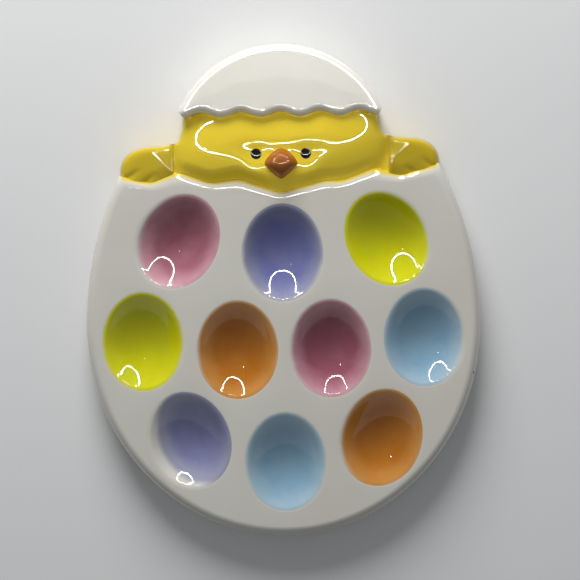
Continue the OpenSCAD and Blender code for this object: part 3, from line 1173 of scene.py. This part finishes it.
def new_glow(name, colour, strength):
    """Adds a material that only glows."""
    shader = new_material(name)[1]
    shader.inputs["Base Color"].default_value = (0, 0, 0, 1)
    shader.inputs["Emission Color"].default_value = (*colour, 1)
    shader.inputs["Emission Strength"].default_value = strength


def glowing_piece(bm, name, material):
    """A thing outside the picture that is seen only in the glaze."""
    thing = stage_piece(bm, name, material)
    thing.visible_camera = False
    thing.visible_diffuse = False
    thing.visible_shadow = False
    return thing


def aim(thing, place, target):
    thing.location = place
    thing.rotation_euler = (Vector(target) - Vector(place)).to_track_quat("-Z", "Y").to_euler()


def add_ring(name, tube_radius, half_width, high, low):
    """A thin ring of light, given by its half width and its highest and lowest points, y and z."""
    high, low = Vector((0, *high)), Vector((0, *low))
    radius = (high - low).length / 2
    bm = bmesh.new()
    tube = bmesh.ops.create_circle(bm, segments=RING_SIDES, radius=tube_radius)["verts"]
    bmesh.ops.rotate(bm, cent=(0, 0, 0), matrix=Matrix.Rotation(math.pi / 2, 3, "X"), verts=tube)
    bmesh.ops.translate(bm, vec=(radius, 0, 0), verts=tube)
    bmesh.ops.spin(bm, geom=bm.verts[:] + bm.edges[:], axis=(0, 0, 1), cent=(0, 0, 0), angle=2 * math.pi,
                   steps=RING_STEPS, use_merge=True)
    bmesh.ops.scale(bm, vec=(half_width / radius, 1, 1), verts=bm.verts)
    ring = glowing_piece(bm, name, "ring_glow")
    middle = (high + low) / 2
    aim(ring, middle, middle + (high - low).cross(Vector((1, 0, 0))))
    print(name, "is", round(2 * half_width / MM), "mm wide")
    return ring


new_glow("ring_glow", (1, 0.97, 0.92), 110)
well_ring = add_ring("well_ring", tube_radius=1.4 * MM, half_width=78 * MM, high=(0.0885, 0.106),
                     low=(0.215, 0.025))
face_ring = add_ring("face_ring", tube_radius=0.8 * MM, half_width=96 * MM, high=(0.077, 0.137),
                     low=(0.172, 0.07))
cap_ring = add_ring("cap_ring", tube_radius=3 * MM, half_width=104 * MM, high=(0.07, 0.147),
                    low=(0.182, 0.06))

# %% [markdown]
# ## A card and a spark
# A pale card at the platter's lower end leaves a band of haze on the upper walls of the lower wells. A
# small bright ball high up puts one spark in each well. Lamps could do both, but these are seen as
# shapes, so they are modelled.

# %% Card and spark
card_width, card_height = 3, 0.09
card_middle = (0, -0.172, 0.047)
spark_radius = 4.5 * MM
spark_middle = (-0.11, 0.114, 0.22)

new_glow("card_glow", (1, 0.98, 0.95), 0.6)
bm = bmesh.new()
bmesh.ops.create_grid(bm, x_segments=1, y_segments=1, size=0.5)
bmesh.ops.rotate(bm, cent=(0, 0, 0), matrix=Matrix.Rotation(math.pi / 2, 3, "X"), verts=bm.verts)
bmesh.ops.scale(bm, vec=(card_width, 1, card_height), verts=bm.verts)
bmesh.ops.translate(bm, vec=card_middle, verts=bm.verts)
haze_card = glowing_piece(bm, "fill_card", "card_glow")

new_glow("spark_glow", (1, 1, 1), 60)
bm = bmesh.new()
bmesh.ops.create_icosphere(bm, subdivisions=2, radius=spark_radius)
bmesh.ops.translate(bm, vec=spark_middle, verts=bm.verts)
glowing_piece(bm, "spark_light", "spark_glow")
print("card:", card_width, "by", card_height, "m")

# %% [markdown]
# ## Lamps
# One large soft lamp beyond the cap lights everything. Two small weak ones lift the head and the cap a
# little. The rings, the card and the small lamps are linked to the pieces that they should light, because
# a ring that showed in every piece would cover the platter with lines.

# %% Lamps, and what each light falls on
def add_lamp(name, size, energy, place, target, spread=180):
    """A soft round lamp that lights the scene without a patch of its own in the glaze."""
    lamp = bpy.data.objects.new(name, bpy.data.lights.new(name, "AREA"))
    lamp.data.shape = "DISK"
    lamp.data.size = size
    lamp.data.energy = energy
    lamp.data.spread = math.radians(spread)
    bpy.context.scene.collection.objects.link(lamp)
    aim(lamp, place, target)
    lamp.visible_glossy = False
    return lamp


def light_only(lamp, name, is_lit):
    """Links a light to those pieces that it should light."""
    lit = bpy.data.collections.new(name)
    for piece in pieces:
        if is_lit(piece.name):
            lit.objects.link(piece)
    lamp.light_linking.receiver_collection = lit


brow_middle = (0, 0.12, 0.03)
add_lamp("main_light", size=0.9, energy=20, place=(-0.2, 1.25, 0.68), target=(0, 0, 0))
face_light = add_lamp("face_light", 0.2, 0.035, place=(0, 0.04, 0.4), target=brow_middle, spread=50)
cap_light = add_lamp("cap_light", 0.2, 0.06, place=(0, 0.3, 0.4), target=brow_middle, spread=50)

chick_pieces = ("puffed_head", "pressed_beak", "left_drop", "right_drop", "mitten_left", "mitten_right")
dull_wells = ("sprayed_blue_glaze_bottom", "sprayed_orange_glaze_bottom_right")
unringed = chick_pieces + dull_wells + ("rolled_cap",)
light_only(face_light, "face_lit", lambda name: name == "puffed_head")
light_only(cap_light, "cap_lit", lambda name: name == "rolled_cap")
light_only(cap_ring, "cap_ringed", lambda name: name == "rolled_cap")
light_only(face_ring, "chick_ringed", lambda name: name in chick_pieces)
light_only(well_ring, "wells_ringed", lambda name: name not in unringed)
light_only(haze_card, "wells_hazed", lambda name: name.startswith("sprayed") and "_top" not in name)

# %% [markdown]
# ## Sky and camera
# A weak, cool sky fills the shadows. The camera looks straight down on the platter, and its lens follows
# from its height and from how much of the table should be in the picture.

# %% Sky and camera
sensor_mm = 36
frame_width = 375 * MM
camera_height = 1.15
camera_turn = -0.9

world = bpy.data.worlds.new("studio")
world.use_nodes = True
sky = world.node_tree.nodes["Background"]
sky.inputs["Color"].default_value = (0.92, 0.96, 1, 1)
sky.inputs["Strength"].default_value = 0.2
bpy.context.scene.world = world

camera = bpy.data.objects.new("camera", bpy.data.cameras.new("camera"))
camera.data.sensor_width = sensor_mm
camera.data.lens = sensor_mm * (camera_height - face_z) / frame_width
camera.location = (4.5 * MM, 0.4 * MM, camera_height)
camera.rotation_euler = (0, 0, math.radians(camera_turn))
bpy.context.scene.collection.objects.link(camera)
bpy.context.scene.camera = camera
bpy.context.scene.view_settings.view_transform = "Standard"
print("lens:", round(camera.data.lens, 1), "mm")
